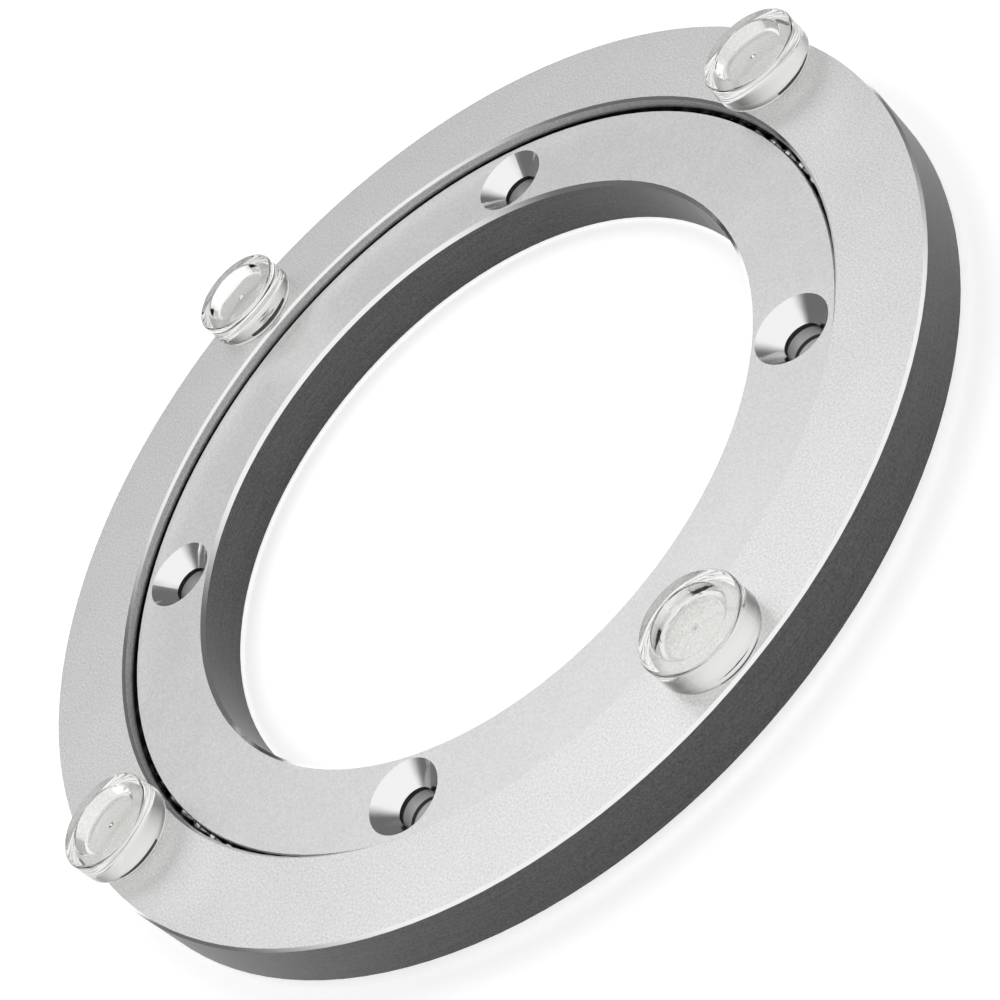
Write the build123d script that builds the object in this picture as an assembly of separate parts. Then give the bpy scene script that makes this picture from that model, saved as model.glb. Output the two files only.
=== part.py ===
from build123d import *
import os
from math import floor, pi, radians, tan

# Lazy susan bearing: two turned aluminium rings that run on one full row of loose steel balls.
# Millimetres. The origin is the centre of the inner ring's bottom face, +Z is the turning axis
# and +X passes through the first pad.

# Rings, from the middle outwards
bore_radius = 44.5
inner_ring_width = 12.2
running_gap = 0.8
outer_ring_width = 12.5
inner_ring_height = 8.0
outer_ring_height = 8.0
# The outer ring hangs on the balls, clear of the base that the inner ring is screwed to.
base_clearance = 1.6
bore_chamfer = 0.5
inner_slit_chamfer = 0.15
outer_slit_chamfer = 0.35
outer_wall_chamfer = 0.35

# Balls and their race
ball_diameter = 4.0
race_clearance = 0.1
ball_spacing = 0.1

# Screw holes in the inner ring, countersunk for flat head screws
screw_count = 4
screw_first_angle = 45.0
screw_hole_radius = 2.65
countersink_radius = 5.2
countersink_angle = 90.0

# Filler hole in the outer ring's wall, and the grub screw that closes it
filler_angle = 135.0
filler_clearance = 0.2
plug_shoulder_width = 0.3
plug_nose_clearance = 0.2
plug_thread_clearance = 0.05
plug_screw_length = 6.0
plug_recess = 0.5
plug_mouth_chamfer = 0.3
socket_sides = 6
socket_width = 2.5
socket_depth = 2.4

# Clear pads on the outer ring, each on a thin film of adhesive that is left as a gap
pad_count = 4
pad_film = 0.05
pad_radius = 7.0
pad_height = 5.2
pad_side_draft = 0.1
pad_foot_round = 1.8
pad_rim_round = 0.4
pad_land_width = 1.5
pad_dish_radius = 4.1
pad_dish_depth = 1.3
pad_lip_round = 0.3
pad_gate_radius = 0.5
pad_gate_height = 0.2

# How far a cut runs past the face that it opens
cut_overrun = 1.0

# Sizes and levels that follow from those above
inner_ring_radius = bore_radius + inner_ring_width
outer_ring_bore = inner_ring_radius + running_gap
outer_radius = outer_ring_bore + outer_ring_width
outer_ring_top = base_clearance + outer_ring_height
ball_radius = ball_diameter / 2
race_radius = ball_radius + race_clearance
ball_circle_radius = (inner_ring_radius + outer_ring_bore) / 2
ball_level = (base_clearance + inner_ring_height) / 2
ball_count = floor(2 * pi * ball_circle_radius / (ball_diameter + ball_spacing))
screw_circle_radius = (bore_radius + inner_ring_radius) / 2
pad_circle_radius = (outer_ring_bore + outer_radius) / 2
filler_hole_radius = ball_radius + filler_clearance
plug_nose_radius = filler_hole_radius - plug_nose_clearance
plug_screw_radius = filler_hole_radius + plug_shoulder_width
plug_hole_radius = plug_screw_radius + plug_thread_clearance
plug_end = outer_radius - plug_recess
plug_shoulder = plug_end - plug_screw_length

# The filler hole's own frame: +Z runs out along the hole from the turning axis.
filler_frame = Rot(Z=filler_angle) * Pos(Z=ball_level) * Rot(Y=90)


def turned_ring(inside, outside, bottom, height, inner_chamfer, outer_chamfer):
    """Ring of rectangular section, between two radii, with its four edges chamfered."""
    section = Pos((inside + outside) / 2, bottom + height / 2) * Rectangle(outside - inside, height)
    inner_corners = section.vertices().group_by(Axis.X)[0]
    section = chamfer(inner_corners, inner_chamfer)
    outer_corners = section.vertices().group_by(Axis.X)[-1]
    section = chamfer(outer_corners, outer_chamfer)
    return revolve(Plane.XZ * section, Axis.Z)


def ball_race():
    """The round channel that the balls run in, half of it in each ring."""
    return Pos(Z=ball_level) * Torus(ball_circle_radius, race_radius)


def radial_rod(radius, start, end):
    """Round rod along the filler hole, between two distances from the turning axis."""
    rod = Cylinder(radius, end - start, align=(Align.CENTER, Align.CENTER, Align.MIN))
    return filler_frame * Pos(Z=start) * rod


def make_inner_ring():
    ring = turned_ring(bore_radius, inner_ring_radius, 0, inner_ring_height, bore_chamfer, inner_slit_chamfer)
    ring -= ball_race()
    cone_depth = (countersink_radius - screw_hole_radius) / tan(radians(countersink_angle / 2))
    cone = Cone(
        screw_hole_radius,
        countersink_radius,
        cone_depth,
        align=(Align.CENTER, Align.CENTER, Align.MAX),
    )
    for place in PolarLocations(screw_circle_radius, screw_count, screw_first_angle):
        ring -= place * Pos(Z=inner_ring_height / 2) * Cylinder(screw_hole_radius, inner_ring_height)
        ring -= place * Pos(Z=inner_ring_height) * cone
    return ring


def make_outer_ring():
    ring = turned_ring(
        outer_ring_bore,
        outer_radius,
        base_clearance,
        outer_ring_height,
        outer_slit_chamfer,
        outer_wall_chamfer,
    )
    ring -= ball_race()
    ring -= radial_rod(filler_hole_radius, ball_circle_radius, plug_shoulder)
    ring -= radial_rod(plug_hole_radius, plug_shoulder, outer_radius + cut_overrun)
    mouth = Cone(
        plug_hole_radius,
        plug_hole_radius + plug_mouth_chamfer,
        plug_mouth_chamfer,
        align=(Align.CENTER, Align.CENTER, Align.MAX),
    )
    ring -= filler_frame * Pos(Z=outer_radius) * mouth
    return ring


def make_steel_balls():
    places = PolarLocations(ball_circle_radius, ball_count, filler_angle)
    return Compound([Pos(Z=ball_level) * place * Sphere(ball_radius) for place in places])


def make_filler_plug():
    """Grub screw whose dog point is ground to the race, so that the balls cross it without a step."""
    nose = radial_rod(plug_nose_radius, ball_circle_radius, plug_shoulder)
    screw = radial_rod(plug_screw_radius, plug_shoulder, plug_end)
    socket = extrude(RegularPolygon(socket_width / 2, socket_sides, major_radius=False), -socket_depth)
    return nose + screw - ball_race() - filler_frame * Pos(Z=plug_end) * socket


def make_pad():
    """Pad turned about its own axis: rounded foot and rim, flat land, dished top with a gate mark."""
    top_radius = pad_radius - pad_side_draft
    land_inner_radius = top_radius - pad_rim_round - pad_land_width
    dish_floor = pad_height - pad_dish_depth
    gate_top = dish_floor + pad_gate_height
    foot_corner = (pad_radius, 0)
    rim_corner = (top_radius, pad_height)
    lip_corner = (land_inner_radius, pad_height)
    outline = Polyline(
        (0, 0),
        foot_corner,
        rim_corner,
        lip_corner,
        (pad_dish_radius, dish_floor),
        (pad_gate_radius, dish_floor),
        (0, gate_top),
        close=True,
    )
    section = make_face(outline)
    for corner, size in (
        (foot_corner, pad_foot_round),
        (rim_corner, pad_rim_round),
        (lip_corner, pad_lip_round),
        ((pad_dish_radius, dish_floor), pad_lip_round),
    ):
        vertex = section.vertices().sort_by_distance((*corner, 0))[0]
        section = fillet(vertex, size)
    return revolve(Plane.XZ * section, Axis.Z)


os.makedirs("parts", exist_ok=True)
pieces = {
    "inner_ring": make_inner_ring(),
    "outer_ring": make_outer_ring(),
    "steel_balls": make_steel_balls(),
    "filler_plug": make_filler_plug(),
}
pad = make_pad()
for number, place in enumerate(PolarLocations(pad_circle_radius, pad_count), start=1):
    pieces[f"clear_pad_{number}"] = Pos(Z=outer_ring_top + pad_film) * place * pad
for name, piece in pieces.items():
    export_step(piece, f"parts/{name}.step")
    print(name, len(piece.solids()), "solids", round(piece.volume, 2), "mm3")
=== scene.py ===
# %% [markdown]
# A lazy susan bearing: two aluminium rings that turn on a full row of steel balls, with four clear pads
# on the outer ring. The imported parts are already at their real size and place, so this lesson is about
# what Blender adds: the finish of every surface, a camera at the photograph's angle, a pale floor and
# soft studio light. Shapes stay as they are. A finish that follows the part's own form needs no fitting,
# and it stays in place when the ring turns.

# %% Load the parts
import math

import bpy
from mathutils import Matrix, Vector


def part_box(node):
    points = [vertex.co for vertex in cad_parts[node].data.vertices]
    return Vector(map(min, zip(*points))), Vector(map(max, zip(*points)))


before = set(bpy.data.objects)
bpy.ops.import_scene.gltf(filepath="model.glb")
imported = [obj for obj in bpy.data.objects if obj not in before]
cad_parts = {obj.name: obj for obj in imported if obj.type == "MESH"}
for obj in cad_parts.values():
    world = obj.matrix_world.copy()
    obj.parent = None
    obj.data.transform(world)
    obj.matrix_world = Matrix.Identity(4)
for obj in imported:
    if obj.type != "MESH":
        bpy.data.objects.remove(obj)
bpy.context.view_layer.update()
print("parts:", sorted(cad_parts))

# %% [markdown]
# The lesson speaks in millimetres on the object, and Blender's unit is the metre. The finishes need a few
# sizes of the rings. All of them could be typed in, but what a part's box shows is read from it, so that
# it follows when the part changes. No box shows the bore's radius or the depth of the countersinks, so
# these two are typed.

# %% Sizes of the rings
MM = 0.001
bore_radius = 44.5 * MM
countersink_depth = 2.55 * MM


def radius_of(node):
    low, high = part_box(node)
    return (high[0] - low[0]) / 2


outer_radius = radius_of("outer_ring")
slit_radius = radius_of("inner_ring")
slit_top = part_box("inner_ring")[1][2]
screw_circle = (bore_radius + slit_radius) / 2
cone_bottom = slit_top - countersink_depth
print("outer radius", round(outer_radius / MM, 2), "mm, slit at", round(slit_radius / MM, 2), "mm")
print("screws at", round(screw_circle / MM, 2), "mm, countersinks end at", round(cone_bottom / MM, 2), "mm")

# %% [markdown]
# The photograph's camera was held at a slant, so the ring lies across the picture like a tilted plate.
# One could turn the ring instead, but parts stay in their own frame. So the camera, which first looks
# along +Y, is tipped down, turned a little about the bearing's axis and rolled about its line of sight.
# The Standard view shows colours about as they are written.

# %% Camera
camera_distance = 355.4 * MM
camera_elevation = math.radians(34.95)
camera_turn = math.radians(-2.85)
camera_roll = math.radians(48.58)
camera_aim = Vector((-0.47, -0.84, 0.0)) * MM

camera_data = bpy.data.cameras.new("photo_camera")
camera_data.lens = 98.6
camera_data.sensor_width = 36.0
camera_data.clip_start = 0.01
camera_data.clip_end = 20.0
camera = bpy.data.objects.new("photo_camera", camera_data)
bpy.context.scene.collection.objects.link(camera)
stance = Matrix.Rotation(camera_turn, 4, "Z") @ Matrix.Rotation(math.pi / 2 - camera_elevation, 4, "X")
stance = stance @ Matrix.Rotation(-camera_roll, 4, "Z")
camera.matrix_world = Matrix.Translation(camera_aim) @ stance @ Matrix.Translation((0, 0, camera_distance))
bpy.context.scene.camera = camera
bpy.context.scene.view_settings.view_transform = "Standard"
print("camera at", [round(c / MM, 1) for c in camera.matrix_world.translation], "mm")

# %% [markdown]
# Every finish below is a small graph of shader nodes. Building one by hand means many lines that make
# a node, set it and wire it. Short helpers keep each finish down to the lines that say something. The
# first ones add a node and fill its inputs, blend two values, turn a range into a soft mask, calculate
# with values, and say how far one value is from another.

# %% Node helpers
def add_node(tree, kind, inputs=None, **options):
    made = tree.nodes.new("ShaderNode" + kind)
    for option, value in options.items():
        setattr(made, option, value)
    for socket, value in (inputs or {}).items():
        if isinstance(value, bpy.types.NodeSocket):
            tree.links.new(value, made.inputs[socket])
        else:
            made.inputs[socket].default_value = value
    return made


def blend_values(tree, mask, low, high):
    return add_node(tree, "Mix", {0: mask, 2: low, 3: high}, data_type="FLOAT").outputs[0]


def soft_mask(tree, value, start, end):
    ends = {"Value": value, "From Min": start, "From Max": end}
    return add_node(tree, "MapRange", ends, interpolation_type="SMOOTHSTEP").outputs["Result"]


def calculate(tree, operation, *values):
    return add_node(tree, "Math", dict(enumerate(values)), operation=operation).outputs[0]


def how_far(tree, value, from_value):
    return calculate(tree, "ABSOLUTE", calculate(tree, "SUBTRACT", value, from_value))


print("node helpers ready")

# %% [markdown]
# Two more helpers start a finish and give it to a part. A part keeps its mesh, and only its list of
# materials is changed.

# %% Finish helpers
def new_finish(name):
    finish = bpy.data.materials.new(name)
    finish.use_nodes = True
    tree = finish.node_tree
    return finish, tree, tree.nodes["Principled BSDF"]


def give_finish(node_name, finish):
    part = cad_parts[node_name]
    part.data.materials.clear()
    part.data.materials.append(finish)


print("finish helpers ready")

# %% [markdown]
# Grain comes from noise in the part's own coordinates. A picture of grain could do it too, but it would
# have to be unwrapped onto each part. The size of the grain is given as a length, which is easier to judge
# against the real thing than a texture scale. Noise keeps close to its middle value, so it is stretched to
# run from zero to one.

# %% Grain helper
noise_low = 0.25
noise_high = 0.75


def grain_of(tree, place, size):
    settings = {"Vector": place, "Scale": 1 / size, "Detail": 2.0, "Roughness": 0.6}
    noise = add_node(tree, "TexNoise", settings).outputs["Fac"]
    stretch = {"Value": noise, "From Min": noise_low, "From Max": noise_high}
    return add_node(tree, "MapRange", stretch).outputs["Result"]


print("noise is stretched from", noise_low, "to", noise_high)

# %% [markdown]
# Each ring is one piece of aluminium with several finishes. The flat faces are bead blasted, pale and
# matt. The chamfers and the countersinks were cut after that, so they are bright. The drilled holes under
# the countersinks are duller, with dark rings of painted shade. The bore and the outer wall are satin and
# painted dark, as a painted reflection of a dark room, and painted shade darkens the slit between the
# rings.
# Separate pieces or painted faces could carry these, but the way a surface faces already tells them apart:
# flat faces point up or down, cut edges slope, and walls stand upright. So the height of the surface normal
# is the first mask.

# %% Aluminium: which way a face points
flat_start = 0.88
flat_full = 0.96
slope_start = 0.3
slope_full = 0.5


def face_masks(tree, coordinates):
    normal = add_node(tree, "SeparateXYZ", {"Vector": coordinates.outputs["Normal"]})
    flatness = calculate(tree, "ABSOLUTE", normal.outputs["Z"])
    is_flat = soft_mask(tree, flatness, flat_start, flat_full)
    is_not_wall = soft_mask(tree, flatness, slope_start, slope_full)
    return is_flat, is_not_wall


print("flat faces from", flat_full, "and walls below", slope_start)

# %% [markdown]
# All walls stand upright, so the normal can't tell the slit and the screw holes from the bore and the
# outer wall. Their distance from the bearing's axis can, and it stays the same at every turn of the ring.

# %% Aluminium: which wall it is
slit_reach = 1.5 * MM
slit_fade = 2.0 * MM
hole_reach = 3.0 * MM
hole_fade = 4.0 * MM


def wall_masks(tree, place):
    around = add_node(tree, "VectorMath", {0: place, 1: (1, 1, 0)}, operation="MULTIPLY").outputs[0]
    distance = add_node(tree, "VectorMath", {0: around}, operation="LENGTH").outputs["Value"]
    in_slit = soft_mask(tree, how_far(tree, distance, slit_radius), slit_fade, slit_reach)
    in_hole = soft_mask(tree, how_far(tree, distance, screw_circle), hole_fade, hole_reach)
    return in_slit, in_hole


print("slit walls within", slit_reach / MM, "mm, hole walls within", hole_reach / MM, "mm")

# %% [markdown]
# A drilled hole is duller than its countersink. Two dark rings of painted shade are put in it, one under
# the cone and one further down. They could be cut as grooves, but they have no depth that one can see,
# so the height in the hole picks a darker shade.

# %% Aluminium: the drilled holes
drilled_shade = 0.6
# painted shade: the dark shade of both bands in the hole
painted_hole_shade = 0.05
hole_shade_full = 0.6 * MM
hole_shade_end = 0.8 * MM
low_shade_depth = 2.5 * MM
low_shade_full = 0.2 * MM
low_shade_end = 0.35 * MM


def drilled_bands(tree, height):
    under_cone = soft_mask(tree, height, cone_bottom - hole_shade_end, cone_bottom - hole_shade_full)
    from_low_shade = how_far(tree, height, cone_bottom - low_shade_depth)
    low_shade = soft_mask(tree, from_low_shade, low_shade_end, low_shade_full)
    painted_dark = calculate(tree, "MAXIMUM", under_cone, low_shade)
    return blend_values(tree, painted_dark, drilled_shade, painted_hole_shade)


# height of the lower band of painted shade
print("tool mark at", round((cone_bottom - low_shade_depth) / MM, 2), "mm")

# %% [markdown]
# Bead blasting leaves a fine speckle of pale and darker dents, and the tone drifts a little over the ring
# like faint clouds. A flat colour would look like plastic. Two sizes of grain give both.

# %% Aluminium: the blasted faces
grain_size = 0.3 * MM
cloud_size = 9.0 * MM
cloud_depth = 0.03


def blasted_faces(tree, place, grain, blasted_shade, grain_depth):
    clouds = grain_of(tree, place, cloud_size)
    speckle = calculate(tree, "MULTIPLY_ADD", grain, grain_depth, blasted_shade - grain_depth / 2)
    centred = calculate(tree, "SUBTRACT", speckle, cloud_depth / 2)
    return calculate(tree, "MULTIPLY_ADD", clouds, cloud_depth, centred)


print("blasted grain", grain_size / MM, "mm, clouds", cloud_size / MM, "mm")

# %% [markdown]
# The walls were turned on a lathe, so fine lines run around them under the grain. Noise that is squeezed
# along the axis and stretched around the ring draws such lines at every place without a seam. Their dark
# shade is a painted reflection of a dark room.

# %% Aluminium: the satin walls, painted dark
# painted reflection: the walls' dark shade stands for a dark room reflected in them
painted_dark_wall_shade = 0.09
line_size = 0.16 * MM
line_stretch = (0.02, 0.02, 1.0)
line_share = 0.5
satin_base = 0.55
satin_depth = 0.6


def turned_walls_painted_dark(tree, place, grain):
    turned = add_node(tree, "VectorMath", {0: place, 1: line_stretch}, operation="MULTIPLY").outputs[0]
    lines = grain_of(tree, turned, line_size)
    satin = calculate(tree, "ADD", calculate(tree, "MULTIPLY", lines, line_share), grain)
    return calculate(tree, "MULTIPLY_ADD", satin, satin_depth * painted_dark_wall_shade, satin_base * painted_dark_wall_shade)


print("turned lines", line_size / MM, "mm")

# %% [markdown]
# Now the masks put the shades in their places. The walls come first, with the holes and the slit in them,
# then the bright cut edges, and the blasted faces last. The slit gets painted shade, but the part of the
# outer ring's slit wall that stands above the inner ring stays blasted, so the painted shade starts below
# the inner ring's top.

# %% Aluminium: the shades of a ring
bright_shade = 0.93
# painted shade: the slit below the inner ring's top is painted nearly black
painted_slit_shade = 0.03
slit_shade_fade = 0.4 * MM


def ring_shade(tree, place, masks, wall, blasted):
    is_flat, is_not_wall, in_slit, in_hole = masks
    height = add_node(tree, "SeparateXYZ", {"Vector": place}).outputs["Z"]
    wall = blend_values(tree, in_hole, wall, drilled_bands(tree, height))
    in_slit_shade = soft_mask(tree, height, slit_top, slit_top - slit_shade_fade)
    wall = blend_values(tree, in_slit, wall, blend_values(tree, in_slit_shade, blasted, painted_slit_shade))
    shade = blend_values(tree, is_not_wall, wall, bright_shade)
    return blend_values(tree, is_flat, shade, blasted)


# the slit's painted shade starts at this height
print("grease below", round(slit_top / MM, 2), "mm")

# %% [markdown]
# The same masks say how rough each finish is: cut edges are nearly mirrors, walls are satin, and blasted
# faces scatter most of the light.

# %% Aluminium: how rough a ring is
blasted_roughness = 0.5
blasted_spread = 0.1
bright_roughness = 0.12
drilled_roughness = 0.3
wall_roughness = 0.4


def ring_roughness(tree, masks, grain):
    is_flat, is_not_wall, in_slit, in_hole = masks
    matt = calculate(tree, "MULTIPLY_ADD", grain, blasted_spread, blasted_roughness - blasted_spread / 2)
    roughness = blend_values(tree, in_hole, wall_roughness, drilled_roughness)
    roughness = blend_values(tree, in_slit, roughness, matt)
    roughness = blend_values(tree, is_not_wall, roughness, bright_roughness)
    return blend_values(tree, is_flat, roughness, matt)


print("roughness from", bright_roughness, "to", blasted_roughness + blasted_spread / 2)

# %% [markdown]
# Both rings get the same finish. The outer one has a little coarser grain, and its paler shade is painted
# light, for the brighter reflection on its near side, so each has a shade and a depth of grain of its own.
# Dents that catch the light could be real geometry, but a bump of a few hundredths of a millimetre is
# enough here. Cut edges stay smooth.

# %% Aluminium: the finish
dent_strength = 0.25
dent_depth = 0.03 * MM


def ring_finish(name, blasted_shade, grain_depth):
    finish, tree, shader = new_finish(name)
    coordinates = add_node(tree, "TexCoord")
    place = coordinates.outputs["Object"]
    is_flat, is_not_wall = face_masks(tree, coordinates)
    masks = (is_flat, is_not_wall, *wall_masks(tree, place))
    grain = grain_of(tree, place, grain_size)
    blasted = blasted_faces(tree, place, grain, blasted_shade, grain_depth)
    shade = ring_shade(tree, place, masks, turned_walls_painted_dark(tree, place, grain), blasted)
    tree.links.new(shade, shader.inputs["Base Color"])
    tree.links.new(ring_roughness(tree, masks, grain), shader.inputs["Roughness"])
    dents = calculate(tree, "MULTIPLY", grain, blend_values(tree, is_not_wall, 1.0, is_flat))
    bump = add_node(tree, "Bump", {"Height": dents, "Strength": dent_strength, "Distance": dent_depth})
    tree.links.new(bump.outputs["Normal"], shader.inputs["Normal"])
    shader.inputs["Metallic"].default_value = 1.0
    return finish


# painted light: the outer ring's paler shade
give_finish("outer_ring", ring_finish("blasted_outer_ring", blasted_shade=0.67, grain_depth=0.3))
give_finish("inner_ring", ring_finish("blasted_inner_ring", blasted_shade=0.64, grain_depth=0.18))
print("rings finished")

# %% [markdown]
# The balls are hardened and polished steel under a thin film of grease. They only show as a few glints
# in a dark slit, so they get a near mirror finish in a dark shade, which is painted shade of the slit,
# with faint streaks of the grease. A helper makes a steel that runs between two shades and two
# roughnesses, because the plug needs one too.

# %% Polished balls
def steel_finish(name, mark_size, shades, roughnesses):
    finish, tree, shader = new_finish(name)
    place = add_node(tree, "TexCoord").outputs["Object"]
    marks = grain_of(tree, place, mark_size)
    tree.links.new(blend_values(tree, marks, *shades), shader.inputs["Base Color"])
    tree.links.new(blend_values(tree, marks, *roughnesses), shader.inputs["Roughness"])
    shader.inputs["Metallic"].default_value = 1.0
    return finish


# painted shade: the balls' dark shades stand for the shade in the slit
ball_steel = steel_finish("polished_steel", 1.2 * MM, shades=(0.2, 0.3), roughnesses=(0.04, 0.12))
give_finish("steel_balls", ball_steel)
print("balls finished")

# %% [markdown]
# The filler plug is a steel grub screw that closes the hole through which the balls went in. In these
# parts the outer ring's wall covers it, so it isn't seen from outside. It could share the balls' finish,
# but a plain turned screw is rougher, and whoever takes the parts apart sees it.

# %% Turned plug
plug_steel = steel_finish("turned_steel", 0.3 * MM, shades=(0.34, 0.5), roughnesses=(0.25, 0.45))
give_finish("filler_plug", plug_steel)
print("plug finished")

# %% [markdown]
# The pads are clear soft plastic. A real one bends light as glass does, a little less strongly, and has
# a faint warm tint. A see-through colour would be simpler, but it has no bright and dark edges, and these
# are what the eye takes for clear plastic. Light that passes through would be slow to compute as caustics,
# so shadow rays go straight through instead, which leaves a pale shadow under each pad.

# %% Clear pads
pad_tint = (0.97, 0.973, 0.955, 1.0)
pad_shadow_tint = (0.96, 0.963, 0.95, 1.0)
pad_bending = 1.48
skin_size = 1.5 * MM
skin_roughness = 0.05
skin_strength = 0.1
skin_depth = 0.02 * MM


def clear_plastic():
    finish, tree, shader = new_finish("clear_plastic")
    place = add_node(tree, "TexCoord").outputs["Object"]
    skin = grain_of(tree, place, skin_size)
    shader.inputs["Base Color"].default_value = pad_tint
    shader.inputs["Transmission Weight"].default_value = 1.0
    shader.inputs["IOR"].default_value = pad_bending
    tree.links.new(calculate(tree, "MULTIPLY", skin, skin_roughness), shader.inputs["Roughness"])
    bump = add_node(tree, "Bump", {"Height": skin, "Strength": skin_strength, "Distance": skin_depth})
    tree.links.new(bump.outputs["Normal"], shader.inputs["Normal"])
    see_through = add_node(tree, "BsdfTransparent", {"Color": pad_shadow_tint})
    is_shadow = add_node(tree, "LightPath").outputs["Is Shadow Ray"]
    both = add_node(tree, "MixShader", {0: is_shadow, 1: shader.outputs[0], 2: see_through.outputs[0]})
    tree.links.new(both.outputs[0], tree.nodes["Material Output"].inputs["Surface"])
    return finish


clear_finish = clear_plastic()
pads = sorted(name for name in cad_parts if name.startswith("clear_pad"))
for pad in pads:
    give_finish(pad, clear_finish)
print(len(pads), "pads finished")

# %% [markdown]
# The photograph was lit softly. Its room is a world that is bright behind the camera and at both sides,
# which makes the countersinks shine, and dim overhead and on the far side, with one soft glow there that
# the clear pads pick up. A picture of a real room could light the world too, but two soft masks are
# easier to follow: each one asks how far a direction agrees with a chosen way.

# %% World
far_way = (0, 1, 0.6)
far_edge = 0.6
near_edge = 0.2
far_light = 0.15
near_light = 0.95
glow_light = 0.65
glow_elevation = math.radians(50)
glow_edge = math.radians(45)
glow_core = math.radians(10)

world = bpy.data.worlds.new("white_room")
bpy.context.scene.world = world
world.use_nodes = True
room = world.node_tree
background = room.nodes["Background"]
background.inputs["Color"].default_value = (1.0, 1.0, 1.0, 1.0)
direction = add_node(room, "TexCoord").outputs["Generated"]


def agreement(way):
    return add_node(room, "VectorMath", {0: direction, 1: way}, operation="DOT_PRODUCT").outputs["Value"]


glow_way = (0, math.cos(glow_elevation), math.sin(glow_elevation))
far_glow = soft_mask(room, agreement(glow_way), math.cos(glow_edge), math.cos(glow_core))
near_side = soft_mask(room, agreement(far_way), far_edge, near_edge)
room_light = blend_values(room, near_side, far_light, near_light)
room_light = calculate(room, "MULTIPLY_ADD", far_glow, glow_light, room_light)
room.links.new(room_light, background.inputs["Strength"])
print("world from", far_light, "on the far side to", near_light, "on the near side")

# %% [markdown]
# One large soft lamp hangs high on the far side. The flat faces mirror it, the near ones more than the
# far ones, so the near side is brighter. A lamp straight overhead would do that too, but seen from above
# the rings would then burn out to white. The pads would show a sharp image of the lamp, which hides their
# form, so rays through clear plastic pass it by.

# %% Lamp
lamp_distance = 0.6
lamp_elevation = math.radians(65)
lamp_turn = math.radians(4)

lamp_data = bpy.data.lights.new("soft_lamp", "AREA")
lamp_data.shape = "RECTANGLE"
lamp_data.size = 0.5
lamp_data.size_y = 0.45
lamp_data.energy = 1.12
lamp = bpy.data.objects.new("soft_lamp", lamp_data)
bpy.context.scene.collection.objects.link(lamp)
aim = Matrix.Rotation(lamp_turn, 4, "Z") @ Matrix.Rotation(lamp_elevation - math.pi / 2, 4, "X")
lamp.matrix_world = aim @ Matrix.Translation((0, 0, lamp_distance))
lamp.visible_transmission = False
print("lamp at", [round(c, 2) for c in lamp.matrix_world.translation], "m")

# %% [markdown]
# The floor is a plain white sheet. It takes the object's shadow from the light, and a little glow for
# the rays that the camera, metal and clear plastic see lifts it to the white of the background. More light
# would whiten it too, but it would also bleach the rings. The back of the sheet is clear, so that the
# underside of the bearing shows when one looks from below.

# %% White sheet
floor_shade = 0.88
floor_glow = 0.4


def white_sheet():
    finish, tree, shader = new_finish("white_sheet")
    shader.inputs["Base Color"].default_value = (floor_shade, floor_shade, floor_shade, 1.0)
    shader.inputs["Roughness"].default_value = 0.9
    shader.inputs["Specular IOR Level"].default_value = 0.0
    rays = add_node(tree, "LightPath").outputs
    seen = calculate(tree, "MAXIMUM", rays["Is Camera Ray"], rays["Is Glossy Ray"])
    seen = calculate(tree, "MAXIMUM", seen, rays["Is Transmission Ray"])
    shader.inputs["Emission Color"].default_value = (1.0, 1.0, 1.0, 1.0)
    tree.links.new(calculate(tree, "MULTIPLY", seen, floor_glow), shader.inputs["Emission Strength"])
    from_below = add_node(tree, "NewGeometry").outputs["Backfacing"]
    clear_back = add_node(tree, "BsdfTransparent").outputs[0]
    both = add_node(tree, "MixShader", {0: from_below, 1: shader.outputs[0], 2: clear_back})
    tree.links.new(both.outputs[0], tree.nodes["Material Output"].inputs["Surface"])
    return finish


floor_finish = white_sheet()
print("white sheet ready")

# %% [markdown]
# The sheet itself is one large square. A small one would show its edge in low views. It lies a hair below
# the ring, because two faces in one plane would flicker.

# %% Floor
floor_half = 8.0
floor_level = -0.05 * MM


def four_cornered(name, corners, finish):
    mesh = bpy.data.meshes.new(name)
    mesh.from_pydata(corners, [], [(0, 1, 2, 3)])
    mesh.materials.append(finish)
    made = bpy.data.objects.new(name, mesh)
    bpy.context.scene.collection.objects.link(made)
    return made


floor_sides = [(-1, -1), (1, -1), (1, 1), (-1, 1)]
floor_corners = [(x * floor_half, y * floor_half, floor_level) for x, y in floor_sides]
floor = four_cornered("floor", floor_corners, floor_finish)
print("floor", 2 * floor_half, "m wide")

# %% [markdown]
# Clear plastic is hard to see in a white room, because white shows through white. A photographer stands
# a dark card behind the set, out of the picture, and its reflection draws a dark line in each pad. The
# line could be painted on the pads, but then it would stay where it is when the ring turns. So a card
# stands on the far side, and only reflections and clear plastic see it.

# %% Dark card
card_distance = 1.4
card_half_width = 0.57
card_low = 0.05
card_high = 0.74


def black_card():
    finish, _, shader = new_finish("black_card")
    shader.inputs["Base Color"].default_value = (0.02, 0.02, 0.02, 1.0)
    shader.inputs["Roughness"].default_value = 0.8
    shader.inputs["Specular IOR Level"].default_value = 0.0
    return finish


card_sides = [(-1, card_low), (1, card_low), (1, card_high), (-1, card_high)]
card_corners = [(side * card_half_width, card_distance, height) for side, height in card_sides]
card = four_cornered("dark_card", card_corners, black_card())
card.visible_camera = False
card.visible_diffuse = False
card.visible_shadow = False
print("card stands", card_distance, "m behind the axis")
